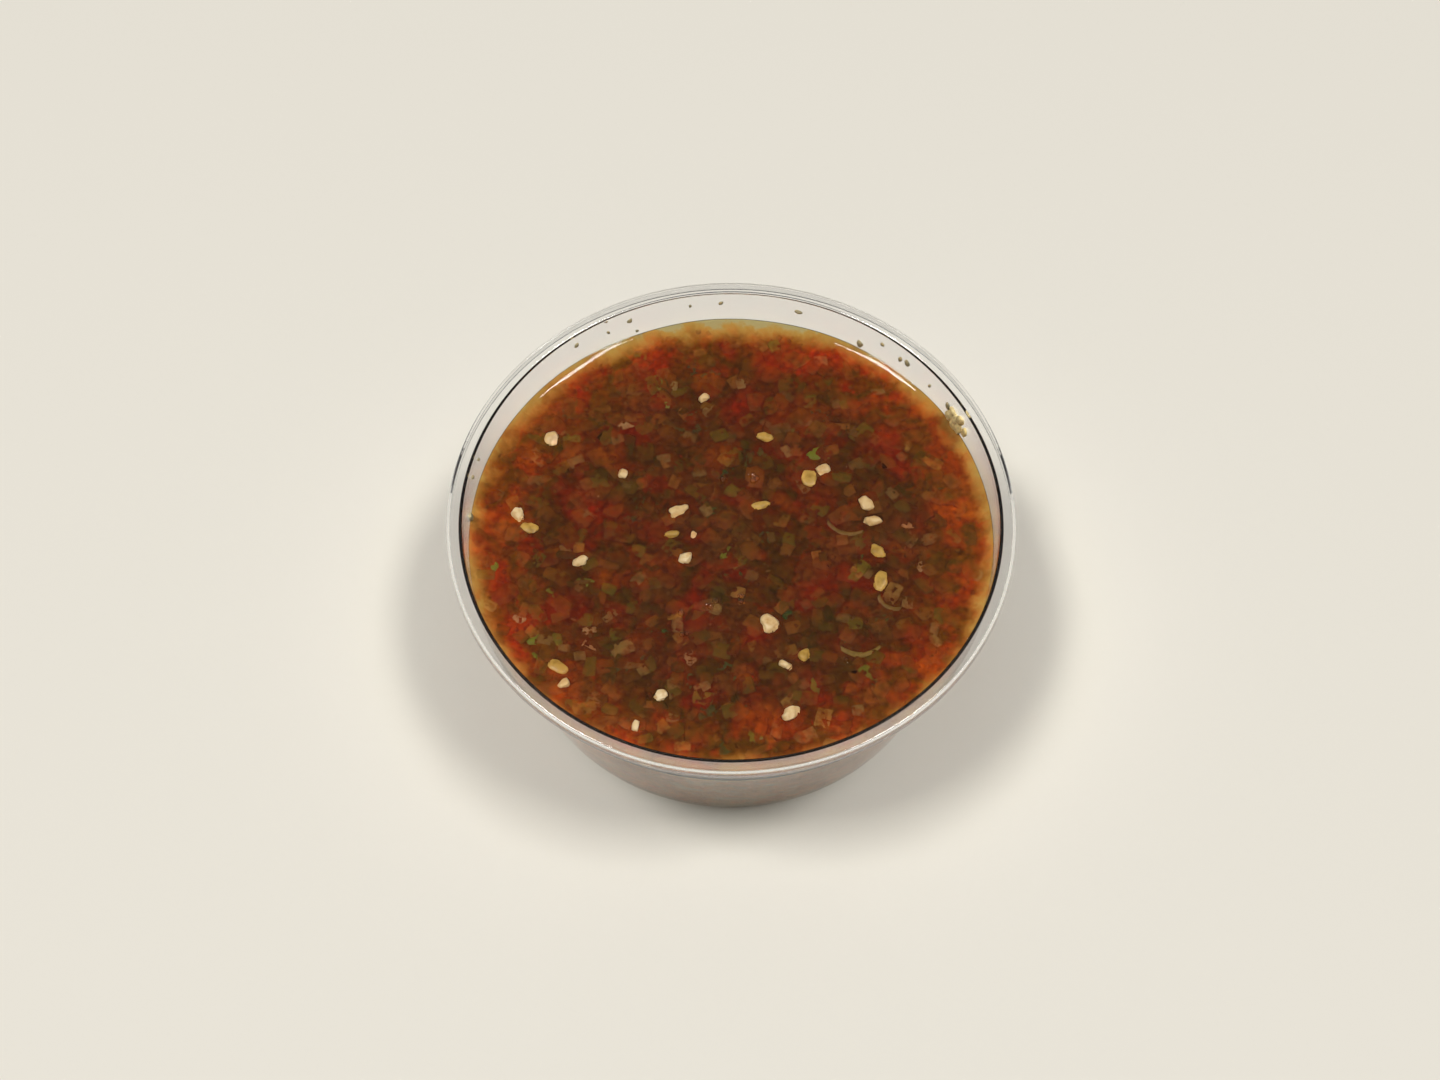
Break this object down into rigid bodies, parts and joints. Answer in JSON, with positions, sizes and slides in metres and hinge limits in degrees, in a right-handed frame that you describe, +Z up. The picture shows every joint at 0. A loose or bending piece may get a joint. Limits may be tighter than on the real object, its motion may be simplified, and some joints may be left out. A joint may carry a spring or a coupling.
{
  "type": "vegetable salad",
  "caption": "Finely chopped vegetable salad in its juice, filling a small clear round portion cup with a flat lip, a stacking ledge and tapered sides.",
  "frame": {"origin": "middle of the cup's foot, on the surface that it stands on", "axes": "+Z up along the cup's axis; -Y is the side that the picture's camera looks from"},
  "size_m": [0.074, 0.074, 0.03],
  "materials": {
    "clear_plastic": "clear, smooth and glossy thin plastic sheet",
    "salad": "wet chopped tomato, herbs, pepper and garlic in clear red-brown juice"
  },
  "bodies": {
    "root": {"cup": "clear_plastic", "salad": "salad"}
  },
  "joints": []
}
